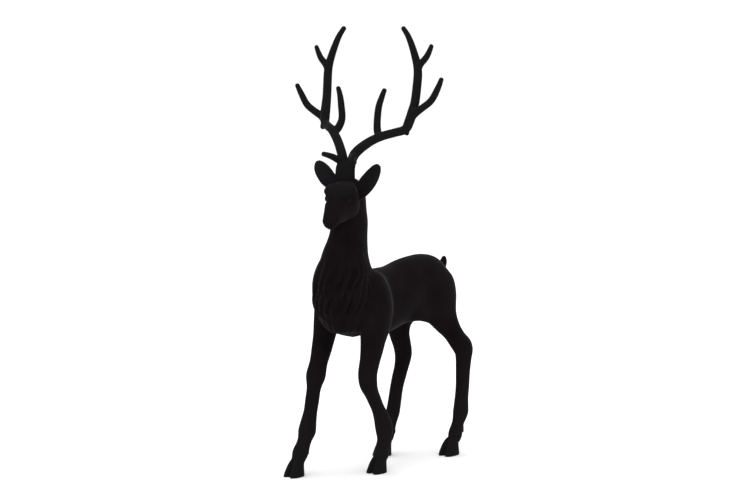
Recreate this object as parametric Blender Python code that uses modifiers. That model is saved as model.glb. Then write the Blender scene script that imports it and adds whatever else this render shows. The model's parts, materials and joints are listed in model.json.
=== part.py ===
"""A standing stag with tall antlers, moulded in one piece and finished in black flock.

The stag faces -Y, its left side is +X and the soles of its hooves stand on Z = 0. It is drawn
as lofts along its spine, neck, head, legs and antlers, which overlap like a clay sketch. The
trunk and legs are melted into one soft skin, the mane is laid on it lock by lock, and a finer
grid melts everything into one solid, which is carved and cut flat under the feet.
"""

import math

import bmesh
import bpy
import numpy as np
from mathutils import Matrix, Vector
from mathutils.bvhtree import BVHTree

# Driving dimensions, in metres
HEIGHT = 0.490
BODY_GRID = 0.002
SKIN_GRID = 0.001
TRIANGLES = 9200

# The drawing of the figure below is in millimetres of a stag DRAWN_HEIGHT tall, so its pose,
# proportions and carving are shares of the height.
DRAWN_HEIGHT = 490.0
UNIT = HEIGHT / DRAWN_HEIGHT

FLOCK_COLOUR = (0.012, 0.011, 0.012, 1.0)
FLOCK_ROUGHNESS = 0.95
FLOCK_SHEEN = 0.35

# Where the head turns on the neck, and how far it looks to the stag's left and down
POLL = (0.0, 17.0, 326.0)
SKULL = (2.6, 10.9, 312.6)
HEAD_YAW = 14.0
HEAD_PITCH = 38.0

# A station of a loft is x, y, z, half width, half depth.
TORSO = (
    (0, -13, 197, 8, 14),
    (0, -7, 196, 18, 27),
    (0, 4, 195, 28, 35.2),
    (0, 20, 191.4, 33, 35.8),
    (0, 45, 185.4, 34, 36.9),
    (0, 70, 183.4, 33, 37.6),
    (0, 95, 186.8, 31, 35),
    (0, 120, 193.6, 28.5, 33.4),
    (0, 148, 195.6, 28, 32.6),
    (0, 166, 193, 25, 28.6),
    (0, 177, 191, 18, 22),
    (0, 183, 189, 9, 12),
)
NECK = (
    (0, 24, 168, 12, 16),
    (0, 17.8, 177, 20, 28),
    (0, 13.6, 190, 27.6, 35.5),
    (0, 14.2, 205, 29.2, 35.5),
    (0, 13.8, 222, 27.2, 35.2),
    (0, 15.2, 239, 22.8, 31.4),
    (0, 18.0, 251, 19.6, 28.0),
    (0, 20.6, 264, 17.2, 25.6),
    (0, 22.4, 280, 15.2, 26.0),
    (0, 23.4, 291, 12.8, 23.8),
    (0.4, 23.6, 301, 12.2, 22.2),
    (0.8, 21.5, 312, 12.5, 19),
    (0.6, 17, 321, 9, 12),
)
TAIL = (
    (0, 173, 199, 8, 6),
    (0, 183, 207, 5.8, 4.8),
    (0, 188, 214, 4.6, 4.0),
    (0, 189.5, 219.8, 2.4, 2.2),
)

# The fold of skin from the belly to the stifle, given for the left side
FLANK = (
    (14, 86, 172, 9, 14),
    (19, 104, 168.8, 8, 13),
    (22, 119, 167, 8, 12),
    (23, 135, 162, 8, 11),
)

# The head is drawn in its own frame: x to its left, y to its back, z out of its forehead.
HEAD = (
    (0, 14, -10.5, 4.0, 5.5),
    (0, 8, -8.1, 8.8, 12.3),
    (0, 2, -6.8, 13.4, 17.0),
    (0, -4, -6.7, 17.3, 20.9),
    (0, -10, -5.9, 17.8, 22.1),
    (0, -18, -5.0, 15.6, 20.0),
    (0, -26, -4.5, 12.4, 15.0),
    (0, -34, -3.8, 10.6, 10.8),
    (0, -41, -3.4, 9.2, 8),
    (0, -46, -3.8, 8.3, 6.3),
    (0, -50, -4.8, 6.4, 5),
    (0, -52, -5.4, 3.4, 3.2),
)
HEAD_SQUARE = 0.7
HEAD_EGG = 0.2
EYE = (11.8, -17.5, 5.0)
EYE_RADIUS = 4.2
SOCKET_RADIUS = 6.2
SOCKET_REACH = 1.5
SOCKET_DEPTH = 1.3
BROW = (
    (11.4, -3, 9.4, 4, 3.4),
    (12.2, -9, 11.2, 4.6, 3.4),
    (11.8, -15, 11.2, 4.2, 3.2),
    (10.2, -21, 8.8, 3.2, 2.8),
)
NOSTRIL = (5.0, -50.0, -1.4)
NOSTRIL_REACH = 2.2
NOSTRIL_DEPTH = 1.6
MOUTH_Z = -6.4
MOUTH_CORNER_Y = -35.0
MOUTH_REACH = 1.3
MOUTH_DEPTH = 1.0

EAR_CUP = 0.5
EAR_SIDE = (0.75, -0.45, -0.5)
EAR = (
    (10.5, -2, -15.4, 7.4, 5.2),
    (16.8, -2.4, -10.6, 10.2, 4.0),
    (22.6, -1, -4.0, 12.2, 3.2),
    (28.6, 1, 3.6, 11.2, 3.2),
    (34.0, 2, 11.4, 8.0, 2.9),
    (37.0, 2.5, 15.8, 3.8, 2.4),
)
# How far both ears sit towards the stag's left, and how much the left one's root and tip hang
# below the drawing and the right one's stand above it
EAR_ASIDE = 0.3
EAR_ROOT_UNEVEN = 3.0
EAR_UNEVEN = 0.8

# The antlers are drawn from the poll, upright and turned with the head: the left one is given.
BEAM = (
    (3.2, 3, -14, 5.2, 6.0),
    (3.2, 2, 4, 4.9, 5.4),
    (4.4, 2.6, 16, 4.9, 5.2),
    (8.5, 5.4, 27.4, 5.4, 5.4),
    (19.0, 16.9, 39.0, 5.2, 5.2),
    (30.4, 27, 47.0, 5.0, 5.0),
    (40.8, 38, 50.2, 4.8, 4.8),
    (49.4, 47, 53.3, 5.1, 5.1),
    (52.0, 52.5, 62, 5.5, 5.5),
    (53.4, 57.7, 72, 5.4, 5.4),
    (54.5, 62.6, 82.5, 5.0, 5.0),
    (55.4, 66.4, 98, 4.9, 4.9),
    (55.7, 68.7, 110.4, 4.8, 4.8),
    (54.2, 69.8, 121, 4.5, 4.5),
    (49.0, 71.5, 137, 3.9, 3.9),
    (42.9, 72.8, 151, 3.3, 3.3),
    (36.0, 73.5, 161, 2.7, 2.7),
)
TRAY_TINE = (
    (27.6, 26, 44, 3.8, 3.8),
    (23.8, 30, 51, 4.3, 4.3),
    (21.6, 34, 61, 4.0, 4.0),
    (23.0, 35.4, 76.4, 3.8, 3.8),
    (25.6, 38.1, 87.1, 3.3, 3.3),
    (28.8, 40, 95.8, 2.6, 2.6),
)
OUTER_TINE = (
    (52, 52, 59, 4.4, 4.4),
    (58.2, 54.5, 65.4, 4.3, 4.3),
    (66.4, 54.8, 70.8, 4.0, 4.0),
    (76.8, 56.5, 78.6, 3.9, 3.9),
    (84.0, 57.6, 90.4, 3.5, 3.5),
    (89.6, 57.3, 102, 2.6, 2.6),
)
CROWN_TINE = (
    (55, 68.5, 112, 4.0, 4.0),
    (58.2, 69.4, 119.4, 3.8, 3.8),
    (65.4, 70.6, 127.8, 3.5, 3.5),
    (69.6, 71.6, 136, 2.9, 2.9),
    (71.5, 71.9, 141, 2.4, 2.4),
)
BROW_TINE = (
    (7.4, 2, 17.4, 3.9, 3.9),
    (10.8, -6, 22.6, 3.9, 3.9),
    (14.6, -12, 25.8, 3.4, 3.4),
    (19.6, -18.5, 28.4, 2.7, 2.7),
)
# The bony column on the back of the skull that both antlers grow from
PEDICLE = (
    (-3.1, 3, -16, 11.4, 9),
    (-3.5, 2, -6, 10.6, 7.5),
    (-3.7, 1.5, 6, 10.2, 6),
    (-3.4, 1.5, 14, 8.8, 5.4),
    (-2.8, 2.2, 19, 5.0, 3.4),
)
ELBOW_KNOB = ((50, 46, 52, 4, 4), (52, 45.5, 49, 3.2, 3.2), (53, 45.5, 47.4, 2.0, 2.0))
# The two antlers aren't quite a pair: they start towards the stag's left and lean to its right,
# and each branch of the left one is higher than the right one's by twice the numbers given with
# it, for its root and its tip. The left beam sags by twice BEAM_SAG between two heights.
ANTLER_LEAN = 1.25
ANTLER_ASIDE = 0.5
BRANCHES = (
    (BEAM, 0.0, 0.0),
    (TRAY_TINE, -2.6, -0.8),
    (OUTER_TINE, 1.8, 4.2),
    (CROWN_TINE, 0.6, 0.8),
    (BROW_TINE, 0.0, 0.0),
    (ELBOW_KNOB, -2.0, -2.4),
)
BEAM_SAG = 2.6
BEAM_SAG_FROM = 34.0
BEAM_SAG_TO = 104.0
BEAM_SAG_EASE = 14.0

# Legs, from the top down. Half depth is fore and aft. Each ends in the pastern.
LEFT_FORE = (
    (13, 54, 213, 8, 11),
    (24, 43, 204, 11, 19),
    (30, 34, 186, 12.7, 23.4),
    (31, 29.6, 166, 12.2, 23),
    (30, 26.8, 150, 11.4, 18.8),
    (29, 25.5, 138, 10.6, 15.9),
    (29, 22.2, 126, 10, 13.4),
    (29, 18.4, 112, 10.2, 11.7),
    (29, 19.8, 100, 9.7, 10.8),
    (29, 24.8, 90, 7.8, 8.8),
    (29, 30, 81, 7.1, 8.5),
    (29, 35.6, 71, 6.8, 8.2),
    (29, 41, 61, 8.0, 9.3),
    (28.5, 45.8, 51, 9.4, 10.6),
    (28.5, 48, 41, 9.2, 10.3),
    (28, 48, 31.5, 7.6, 8.7),
    (28, 45.5, 24, 7.9, 9.2),
    (28, 43.5, 17, 8.0, 9.4),
    (28, 41, 11, 6.5, 8.0),
)
RIGHT_FORE = (
    (-13, 46, 213, 8, 11),
    (-25, 30, 203, 12, 20),
    (-30, 24, 184, 12.5, 22),
    (-30.5, 18.5, 164, 11.5, 19),
    (-30, 13.5, 148, 10.4, 15.8),
    (-30, 8.8, 133, 9.6, 13.8),
    (-30, 3.8, 119, 9.0, 11.8),
    (-30, -0.9, 105, 10.5, 12.2),
    (-30, -4.2, 92, 7.6, 9.2),
    (-30, -7.0, 79, 7.3, 9.1),
    (-30, -10, 66, 7.1, 8.9),
    (-30, -13, 56, 8.3, 9.8),
    (-30, -15.9, 45, 9.4, 11),
    (-30.5, -19.2, 36, 7.5, 8.8),
    (-30.5, -22, 30, 7.7, 8.9),
    (-31, -26, 22, 8.7, 9.9),
    (-31, -29, 16, 7.5, 8.7),
    (-31, -32, 11, 6.5, 7.8),
)
LEFT_HIND = (
    (13, 151, 209, 9, 20),
    (17.5, 152.6, 195, 13, 30.2),
    (20.5, 152.2, 180, 13.8, 30.8),
    (23.5, 153.5, 166, 12.8, 26.8),
    (26.2, 159.3, 152, 11.2, 18.4),
    (29.3, 167.6, 139, 9.8, 13),
    (31.5, 175, 128, 9.3, 12.4),
    (33.7, 183.3, 117, 9.3, 13.6),
    (34.7, 182.5, 106, 8.6, 10.8),
    (35.5, 180.3, 90, 7.7, 9.6),
    (36, 179, 74, 7.4, 9.1),
    (36, 177.4, 61, 7.4, 9.1),
    (36, 176.4, 49, 8.2, 9.9),
    (36, 175.5, 43, 8.5, 10),
    (36, 171, 32, 6.6, 7.9),
    (36, 168, 25, 7.4, 8.6),
    (36.5, 165, 19, 7.8, 9.2),
    (37, 161.5, 12, 6.3, 7.8),
)
RIGHT_HIND = (
    (-13, 151, 209, 9, 20),
    (-17.5, 154, 195, 13, 30.4),
    (-20.5, 150, 180, 14, 31),
    (-22.5, 142.6, 164, 12.5, 26.6),
    (-22.5, 135.4, 149, 11, 21),
    (-22, 135.6, 134, 10, 14),
    (-22, 140, 121, 9.3, 12),
    (-22, 142.4, 109, 8.7, 12),
    (-22, 139.2, 96, 7.6, 10),
    (-22, 134.4, 84, 7.3, 9.5),
    (-22, 130.4, 73, 7.0, 9.0),
    (-21.5, 127, 61, 7.1, 9.0),
    (-21, 124, 51, 7.3, 9.2),
    (-21, 122, 44, 7.5, 9.2),
    (-20.5, 118, 33, 6.3, 7.6),
    (-20.5, 115, 26, 7.0, 8.0),
    (-20, 111.5, 19, 7.4, 8.4),
    (-20, 108, 12, 6.0, 7.0),
)
# The drawing's ground, under the soles
GROUND = -2.2
# Each hoof: x and y of its middle on the ground, and the half length of its sole
HOOVES = (
    (28.2, 35.2, 10.6),
    (-30.6, -36.6, 10.7),
    (37.0, 153.6, 11.6),
    (-20.0, 102.0, 9.6),
)
HOOF_RISE = 14.0
HOOF_RAKE = 5.0
TOE_APART = 4.7
TOE_HALF_WIDTH = 5.0
SOLE_SINK = 3.0
# A pair of small claws behind each pastern: x, y, z of the middle of the pair
DEWCLAWS = (
    (28.0, 53.0, 26.0),
    (-31.0, -18.5, 25.0),
    (36.2, 173.8, 26.0),
    (-20.4, 119.0, 26.0),
)
DEWCLAW_APART = 4.0
DEWCLAW_HALF = 2.3
DEWCLAW_DROP = 5.0

# The mane: rows of tapering locks from the throat down the chest and under the brisket. Above
# the heart of the chest they turn around the neck's upright axis, and below it around a point.
HEART = (0.0, 27.0, 197.0)
MANE_TOP = 254.0
MANE_TURN = 42.0
MANE_ROWS = 4
MANE_ROW_STEP = 25.0
MANE_SWEEP_TOP = 66.0
MANE_SWEEP_BOTTOM = 46.0
LOCKS_PER_ROW = 8
LOCK_LENGTH = 58.0
LOCK_HALF_WIDTH = 5.4
LOCK_THICKNESS = 3.8
LOCK_SWAY = 13.0
LOCK_CURL = 6.0
LOCK_TIP = 0.4
LOCK_SINK = 3.4
LOCK_LIFT = 0.4
LOCK_POINTS = 11
MANE_SEED = 5

# Where the forms of the body run into each other: x, y, z and reach of each place
HOLLOWS = (
    (0, 50, 228, 34),
    (26, 62, 210, 22),
    (-26, 56, 210, 22),
    (22, 110, 168, 34),
    (-22, 108, 168, 34),
    (20, 140, 205, 46),
    (-20, 140, 205, 46),
    (0, 180, 178, 40),
    (0, 150, 165, 30),
    (0, 40, 156, 30),
    (14, 10, 150, 16),
    (-14, 2, 152, 16),
)
# Rounds of smoothing, how much of it the trunk, the limbs and the hollows take, and the height
# at which the limbs leave the trunk
BODY_ROUNDS = 80
TRUNK_SOFTNESS = 0.25
LIMB_SOFTNESS = 0.05
HOLLOW_SOFTNESS = 1.4
LIMB_TOP = 150.0
SKIN_ROUNDS = 6

STAG = "stag"
MODEL = "stag_figure"


def unit(vectors):
    """Vectors scaled to length one."""
    return vectors / np.linalg.norm(vectors, axis=-1, keepdims=True)


def spline(rows, steps):
    """A Catmull-Rom curve through rows of numbers, with steps points to each span."""
    rows = np.asarray(rows, float)
    ends = np.vstack([2 * rows[0] - rows[1], rows, 2 * rows[-1] - rows[-2]])
    t = np.linspace(0, 1, steps, endpoint=False)[:, None]
    spans = []
    for before, start, stop, after in zip(ends, ends[1:], ends[2:], ends[3:]):
        linear = stop - before
        square = 2 * before - 5 * start + 4 * stop - after
        cube = 3 * start - before - 3 * stop + after
        spans.append(0.5 * (2 * start + linear * t + square * t**2 + cube * t**3))
    spans.append(rows[-1:])
    return np.vstack(spans)


class Clay:
    """Closed lofts that overlap, kept as one list of points and faces in the drawing's units."""

    DOME = 0.3

    def __init__(self):
        self.points = []
        self.faces = []

    def loft(
        self, stations, side=(1, 0, 0), frame=None, cup=0.0, egg=0.0, square=1.0, steps=5, sides=20
    ):
        """A skin through elliptical sections, domed at both ends.

        side is the direction of the half width, one for all or one for each station. cup
        bends a section into a bowl, egg makes it wider below than above, and square is below
        one for a boxier section.
        """
        rows = np.asarray(stations, float)
        sideways = np.broadcast_to(np.asarray(side, float), (len(rows), 3))
        rows = spline(np.hstack([rows, sideways]), steps)
        centres, width, depth, sideways = rows[:, :3], rows[:, 3], rows[:, 4], rows[:, 5:]
        heading = unit(np.gradient(centres, axis=0))
        along = np.sum(heading * sideways, axis=1, keepdims=True)
        across = unit(sideways - heading * along)
        over = np.cross(across, heading)
        angle = np.linspace(0, 2 * math.pi, sides, endpoint=False)
        cosine = np.sign(np.cos(angle)) * np.abs(np.cos(angle)) ** square
        sine = np.sign(np.sin(angle)) * np.abs(np.sin(angle)) ** square
        wide = width[:, None] * cosine * (1 - egg * sine)
        high = depth[:, None] * sine - cup * width[:, None] * sine**2
        rings = centres[:, None] + wide[..., None] * across[:, None] + high[..., None] * over[:, None]
        first = centres[0] - heading[0] * (width[0] + depth[0]) * self.DOME
        last = centres[-1] + heading[-1] * (width[-1] + depth[-1]) * self.DOME
        points = np.vstack([rings.reshape(-1, 3), first, last])
        if frame is not None:
            matrix = np.array(frame)
            points = points @ matrix[:3, :3].T + matrix[:3, 3]
        self.add(points, self.tube_faces(len(rings), sides))

    @staticmethod
    def tube_faces(rings, sides):
        """Quads between the rings, and a fan of triangles at each end."""
        faces = []
        for row in range(rings - 1):
            for column in range(sides):
                a = row * sides + column
                b = row * sides + (column + 1) % sides
                faces.append((a, a + sides, b + sides, b))
        first = rings * sides
        last_row = (rings - 1) * sides
        for column in range(sides):
            after = (column + 1) % sides
            faces.append((first, column, after))
            faces.append((first + 1, last_row + after, last_row + column))
        return faces

    def ball(self, centre, radius, frame=None):
        """A sphere, as a loft of stations that follow its round."""
        x, y, z = centre
        rows = []
        for share in (-0.9, -0.6, 0.0, 0.6, 0.9):
            ring = radius * math.sqrt(1 - share**2)
            rows.append((x, y, z + share * radius, ring, ring))
        self.loft(rows, frame=frame, steps=2, sides=16)

    def add(self, points, faces):
        start = sum(len(block) for block in self.points)
        self.points.append(points)
        for face in faces:
            self.faces.append(tuple(start + corner for corner in face))

    def add_mesh(self, mesh):
        """Takes in a mesh that is already made, such as the melted body."""
        faces = [tuple(face.vertices) for face in mesh.polygons]
        self.add(points_of(mesh), faces)

    def tree(self):
        return BVHTree.FromPolygons(np.vstack(self.points).tolist(), self.faces)

    def mesh(self, name):
        mesh = bpy.data.meshes.new(name)
        mesh.from_pydata((np.vstack(self.points) * UNIT).tolist(), [], self.faces)
        mesh.validate()
        return mesh


def head_frame():
    turn = Matrix.Rotation(math.radians(HEAD_YAW), 4, "Z")
    nod = Matrix.Rotation(math.radians(HEAD_PITCH), 4, "X")
    return Matrix.Translation(SKULL) @ turn @ nod


def antler_frame():
    turn = Matrix.Rotation(math.radians(HEAD_YAW), 4, "Z")
    lean = Matrix.Rotation(math.radians(-ANTLER_LEAN), 4, "Y")
    return Matrix.Translation(POLL) @ turn @ lean


def mirrored(stations, hand):
    """Stations of the left side, or of the right side where hand is -1."""
    rows = np.array(stations, float)
    rows[:, 0] *= hand
    return rows


def ease(value, start, stop):
    """A number that rises smoothly from 0 at start to 1 at stop."""
    share = np.clip((value - start) / (stop - start), 0, 1)
    return share * share * (3 - 2 * share)


def add_trunk(clay):
    clay.loft(TORSO, egg=0.06, sides=32)
    clay.loft(NECK, sides=28)


def add_legs(clay):
    for leg in (LEFT_FORE, RIGHT_FORE, LEFT_HIND, RIGHT_HIND):
        clay.loft(leg, sides=22)
    for hand in (1, -1):
        clay.loft(mirrored(FLANK, hand))


def melted_body(with_legs):
    """The trunk and neck, with or without the legs, as one soft skin."""
    clay = Clay()
    add_trunk(clay)
    if with_legs:
        add_legs(clay)
    skin = melt(clay.mesh("body"), BODY_GRID)
    return soften(skin, BODY_ROUNDS, softness(points_of(skin)))


def add_mane(clay):
    """Locks that lie on the trunk, row over row, with their tips standing off."""
    trunk = Clay()
    trunk.add_mesh(melted_body(with_legs=False))
    tree = trunk.tree()
    rng = np.random.default_rng(MANE_SEED)
    for row in range(MANE_ROWS):
        share_down = row / (MANE_ROWS - 1)
        sweep = MANE_SWEEP_TOP + (MANE_SWEEP_BOTTOM - MANE_SWEEP_TOP) * share_down
        for place in range(LOCKS_PER_ROW):
            share = (place + 0.5 * (row % 2) + rng.uniform(-0.12, 0.12)) / (LOCKS_PER_ROW - 0.5)
            bearing = sweep * (2 * share - 1)
            down = MANE_ROW_STEP * (row + rng.uniform(-0.15, 0.15))
            length = LOCK_LENGTH * rng.uniform(0.85, 1.15)
            sway = LOCK_SWAY * rng.uniform(0.5, 1.1) * math.sin(2 * math.radians(bearing))
            add_lock(clay, tree, bearing, down, length, sway)


def add_lock(clay, tree, bearing, down, length, sway):
    """One lock, from its root at a bearing (degrees left of ahead) and a way down.

    It swings outwards and comes back in, and its tip curls.
    """
    heart = Vector(HEART)
    to_heart = MANE_TOP - heart.z
    rows = []
    sides = []
    for t in np.linspace(0, 1, LOCK_POINTS):
        curl = LOCK_CURL * math.sin(2 * math.pi * t) * t
        angle = math.radians(bearing + sway * math.sin(math.pi * t) + curl)
        below = down + length * t - to_heart
        dip = max(below, 0) / MANE_TURN
        outward = Vector((math.sin(angle), -math.cos(angle), 0)) * math.cos(dip)
        outward.z = -math.sin(dip)
        axis = heart + Vector((0, 0, max(-below, 0)))
        spot, normal, _, _ = tree.ray_cast(axis + outward * 100, -outward)
        if spot is None:
            break
        wide = math.sin(math.pi * (0.1 + 0.9 * t) ** 0.8) ** 0.8
        thick = math.sin(math.pi * (0.05 + 0.95 * t) ** 1.5) ** 0.6
        spot = spot + normal * (LOCK_LIFT * t - LOCK_SINK * (1 - t) ** 2)
        rows.append((*spot, LOCK_HALF_WIDTH * wide + LOCK_TIP, LOCK_THICKNESS * thick + LOCK_TIP))
        sides.append(normal.cross(Vector((0, 0, 1)) * math.cos(dip) + outward * math.sin(dip)))
    clay.loft(rows, side=sides, steps=4, sides=12)


def add_head(clay):
    frame = head_frame()
    clay.loft(HEAD, frame=frame, square=HEAD_SQUARE, egg=HEAD_EGG, sides=40)
    for hand in (1, -1):
        clay.ball((hand * EYE[0], EYE[1], EYE[2]), EYE_RADIUS, frame)
        clay.loft(mirrored(BROW, hand), frame=frame)


def add_ears(clay):
    frame = antler_frame()
    x, y, z = EAR_SIDE
    for hand in (1, -1):
        rows = mirrored(EAR, hand)
        rows[:, 0] += EAR_ASIDE
        rows[:, 2] -= hand * np.linspace(EAR_ROOT_UNEVEN, EAR_UNEVEN, len(rows))
        clay.loft(rows, side=(x, y * hand, z), frame=frame, cup=EAR_CUP * hand, steps=6, sides=28)


def add_antlers(clay):
    frame = antler_frame()
    clay.loft(PEDICLE, frame=frame)
    for hand in (1, -1):
        for branch, root, tip in BRANCHES:
            rows = mirrored(branch, hand)
            rows[:, 0] += ANTLER_ASIDE
            rows[:, 2] += hand * np.linspace(root, tip, len(rows))
            if branch is BEAM:
                up = ease(rows[:, 2], BEAM_SAG_FROM, BEAM_SAG_FROM + BEAM_SAG_EASE)
                back = ease(rows[:, 2], BEAM_SAG_TO, BEAM_SAG_TO - BEAM_SAG_EASE)
                rows[:, 2] -= hand * BEAM_SAG * up * back
            clay.loft(rows, side=(0.3, 1, 0.2), frame=frame, sides=16)


def add_hooves(clay):
    """Two toes to each foot, and two claws behind it."""
    for x, y, half in HOOVES:
        for hand in (1, -1):
            top = (x + hand * 3.2, y + HOOF_RAKE + 1, HOOF_RISE, 3.6, 6.5)
            middle = (x + hand * 4, y + HOOF_RAKE / 2, HOOF_RISE / 2, 0.9 * TOE_HALF_WIDTH, 0.82 * half)
            sole = (x + hand * TOE_APART, y, GROUND + 1, TOE_HALF_WIDTH, half)
            under = (x + hand * TOE_APART, y - 1, GROUND - SOLE_SINK, TOE_HALF_WIDTH, half)
            clay.loft((top, middle, sole, under))
    for x, y, z in DEWCLAWS:
        for hand in (1, -1):
            root = (x + hand * DEWCLAW_APART, y - 1, z + DEWCLAW_HALF, DEWCLAW_HALF, DEWCLAW_HALF)
            tip = (x + hand * DEWCLAW_APART, y + 1.5, z - DEWCLAW_DROP, DEWCLAW_HALF / 2, DEWCLAW_HALF / 2)
            clay.loft((root, tip))


def in_collection(obj, name):
    """Puts an object in the named collection, which is made the first time."""
    group = bpy.data.collections.get(name)
    if group is None:
        group = bpy.data.collections.new(name)
        bpy.context.scene.collection.children.link(group)
    group.objects.link(obj)


def workpiece(mesh):
    """A linked object for a mesh, to put a modifier on."""
    obj = bpy.data.objects.new("workpiece", mesh)
    bpy.context.scene.collection.objects.link(obj)
    return obj


def evaluated(obj):
    """The object's mesh with its modifiers applied. The object itself is removed."""
    bpy.context.view_layer.update()
    graph = bpy.context.evaluated_depsgraph_get()
    mesh = bpy.data.meshes.new_from_object(obj.evaluated_get(graph))
    bpy.data.objects.remove(obj)
    return mesh


def points_of(mesh):
    """The mesh's points in the drawing's units."""
    points = np.empty(3 * len(mesh.vertices), np.float32)
    mesh.vertices.foreach_get("co", points)
    return points.reshape(-1, 3).astype(float) / UNIT


def normals_of(mesh):
    normals = np.empty(3 * len(mesh.vertices), np.float32)
    mesh.vertices.foreach_get("normal", normals)
    return normals.reshape(-1, 3).astype(float)


def melt(mesh, grid):
    """One outer skin around everything in the mesh, on a grid of that size."""
    obj = workpiece(mesh)
    remesh = obj.modifiers.new("Melt", "REMESH")
    remesh.mode = "VOXEL"
    remesh.voxel_size = grid
    skin = evaluated(obj)
    keep_outer_skin(skin)
    return skin


def keep_outer_skin(mesh):
    """Deletes all but the largest connected surface, such as the walls of trapped gaps."""
    bm = bmesh.new()
    bm.from_mesh(mesh)
    left = set(bm.verts)
    shells = []
    while left:
        queue = [left.pop()]
        shell = list(queue)
        while queue:
            for edge in queue.pop().link_edges:
                for vert in edge.verts:
                    if vert in left:
                        left.remove(vert)
                        queue.append(vert)
                        shell.append(vert)
        shells.append(shell)
    shells.sort(key=len)
    for shell in shells[:-1]:
        bmesh.ops.delete(bm, geom=shell, context="VERTS")
    bm.to_mesh(mesh)
    bm.free()


def softness(points):
    """How much each point of the body gives when it is smoothed, from 0 to 1."""
    in_trunk = ease(points[:, 2], LIMB_TOP - 20, LIMB_TOP)
    weight = LIMB_SOFTNESS + (TRUNK_SOFTNESS - LIMB_SOFTNESS) * in_trunk
    for x, y, height, reach in HOLLOWS:
        apart = np.linalg.norm(points - (x, y, height), axis=1)
        weight = np.maximum(weight, (HOLLOW_SOFTNESS * (1 - apart / reach)).clip(0, 1))
    return weight


def soften(mesh, rounds, weights=None):
    """The mesh with its points drawn towards their neighbours."""
    obj = workpiece(mesh)
    smooth = obj.modifiers.new("Soften", "SMOOTH")
    smooth.factor = 0.5
    smooth.iterations = rounds
    if weights is not None:
        group = obj.vertex_groups.new(name="Soft")
        levels = np.round(weights * 20).astype(int)
        for level in range(1, 21):
            group.add(np.flatnonzero(levels == level).tolist(), level / 20, "REPLACE")
        smooth.vertex_group = group.name
    return evaluated(obj)


def carve_face(mesh):
    """Presses the nostrils, the line of the mouth and the eye sockets into the face."""
    points = points_of(mesh)
    normals = normals_of(mesh)
    local = np.array(head_frame().inverted())
    x, y, z = (points @ local[:3, :3].T + local[:3, 3]).T
    depth = np.zeros(len(points))
    for hand in (1, -1):
        apart = (x - hand * NOSTRIL[0]) ** 2 + (y - NOSTRIL[1]) ** 2 + (z - NOSTRIL[2]) ** 2
        depth += NOSTRIL_DEPTH * np.exp(-apart / NOSTRIL_REACH**2)
        apart = np.sqrt((x - hand * EYE[0]) ** 2 + (y - EYE[1]) ** 2 + (z - EYE[2]) ** 2)
        depth += SOCKET_DEPTH * np.exp(-(((apart - SOCKET_RADIUS) / SOCKET_REACH) ** 2))
    closed = ease(y, MOUTH_CORNER_Y, MOUTH_CORNER_Y - 6) * (np.abs(z) < 2 * abs(MOUTH_Z))
    depth += MOUTH_DEPTH * closed * np.exp(-(((z - MOUTH_Z) / MOUTH_REACH) ** 2))
    points -= normals * depth[:, None]
    mesh.vertices.foreach_set("co", (points * UNIT).astype(np.float32).ravel())


def thin(mesh, triangles):
    obj = workpiece(mesh)
    decimate = obj.modifiers.new("Thin", "DECIMATE")
    decimate.ratio = triangles / (2 * len(mesh.polygons))
    decimate.use_collapse_triangulate = True
    return evaluated(obj)


def cut_soles(mesh):
    """Cuts the hooves flat at the ground."""
    bm = bmesh.new()
    bm.from_mesh(mesh)
    geometry = bm.verts[:] + bm.edges[:] + bm.faces[:]
    floor = (0, 0, GROUND * UNIT)
    bmesh.ops.bisect_plane(bm, geom=geometry, plane_co=floor, plane_no=(0, 0, -1), clear_outer=True)
    rims = [edge for edge in bm.edges if edge.is_boundary]
    bmesh.ops.holes_fill(bm, edges=rims)
    bmesh.ops.recalc_face_normals(bm, faces=bm.faces)
    bm.to_mesh(mesh)
    bm.free()


def sculpt(grid):
    """The stag's skin, on a grid of that size."""
    clay = Clay()
    clay.add_mesh(melted_body(with_legs=True))
    add_mane(clay)
    add_head(clay)
    add_ears(clay)
    add_antlers(clay)
    clay.loft(TAIL)
    add_hooves(clay)
    skin = soften(melt(clay.mesh("figure"), grid), SKIN_ROUNDS)
    carve_face(skin)
    return skin


def bottom_centre(mesh):
    """The middle of the mesh's bounding box in plan, and its lowest height."""
    points = points_of(mesh) * UNIT
    low = points.min(axis=0)
    high = points.max(axis=0)
    return Vector(((low[0] + high[0]) / 2, (low[1] + high[1]) / 2, low[2]))


def flock_material():
    material = bpy.data.materials.new("flock")
    material.use_nodes = True
    shader = material.node_tree.nodes["Principled BSDF"]
    shader.inputs["Base Color"].default_value = FLOCK_COLOUR
    shader.inputs["Roughness"].default_value = FLOCK_ROUGHNESS
    shader.inputs["Sheen Weight"].default_value = FLOCK_SHEEN
    return material


def main():
    for obj in list(bpy.data.objects):
        bpy.data.objects.remove(obj)
    skin = thin(sculpt(SKIN_GRID), TRIANGLES)
    cut_soles(skin)
    skin.shade_smooth()
    skin.materials.append(flock_material())
    stag = bpy.data.objects.new(STAG, skin)
    stag.location = -bottom_centre(skin)
    in_collection(stag, MODEL)


main()
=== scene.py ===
"""The look of the standing stag: the same figure sculpted finer, in black velvet flock.

The stag is drawn in the same way as its solid, as lofts that are melted into one skin, but on a
finer grid, with its mane combed into strands, lids and deeper sockets around the eyes, and
grooved antlers. It stands on a pale floor in soft studio light.
"""

import json
import math

import bmesh
import bpy
import numpy as np
from mathutils import Matrix, Vector
from mathutils.bvhtree import BVHTree

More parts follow.
